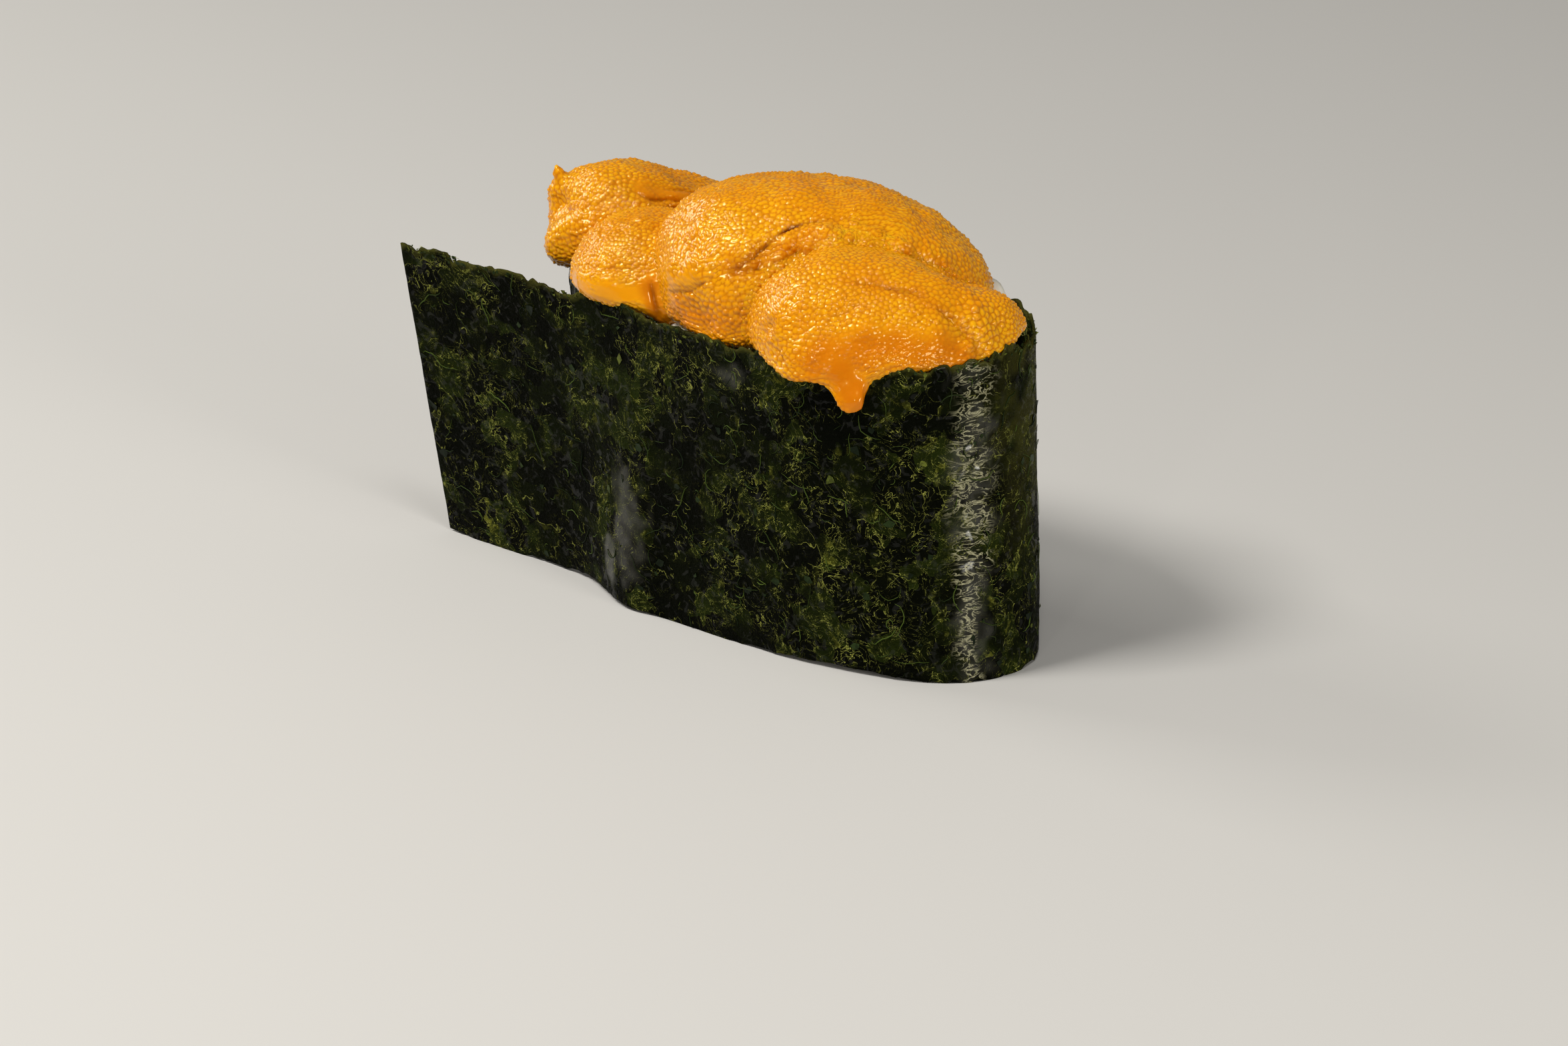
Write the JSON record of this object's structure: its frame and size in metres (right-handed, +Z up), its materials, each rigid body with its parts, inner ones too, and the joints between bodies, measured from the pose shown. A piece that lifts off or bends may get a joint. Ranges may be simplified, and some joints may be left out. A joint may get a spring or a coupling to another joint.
{
  "type": "sea urchin gunkan sushi",
  "caption": "Warship sushi: a tall nori strip lapped round a bed of rice, its loose end standing out, topped with plump sea urchin lobes that spill over the rim.",
  "frame": {"origin": "on the resting plane, under the middle of the closed part of the wrap, at the middle of the rice's underside", "axes": "+X along the length to the rounded near end, the loose end of the nori at -X; -Y the front with the lap; +Z up"},
  "size_m": [0.0693, 0.0332, 0.0447],
  "materials": {
    "nori": "dried seaweed sheet, near black green with lighter flakes and a dull sheen",
    "rice": "cooked white rice, moist and slightly translucent",
    "uni": "yellow-orange sea urchin, fine granules, wet and translucent"
  },
  "bodies": {
    "root": {"nori_wrap": "nori", "rice_bed": "rice", "lobe_centre": "uni", "lobe_front": "uni", "lobe_left": "uni", "lobe_far": "uni"}
  },
  "joints": []
}
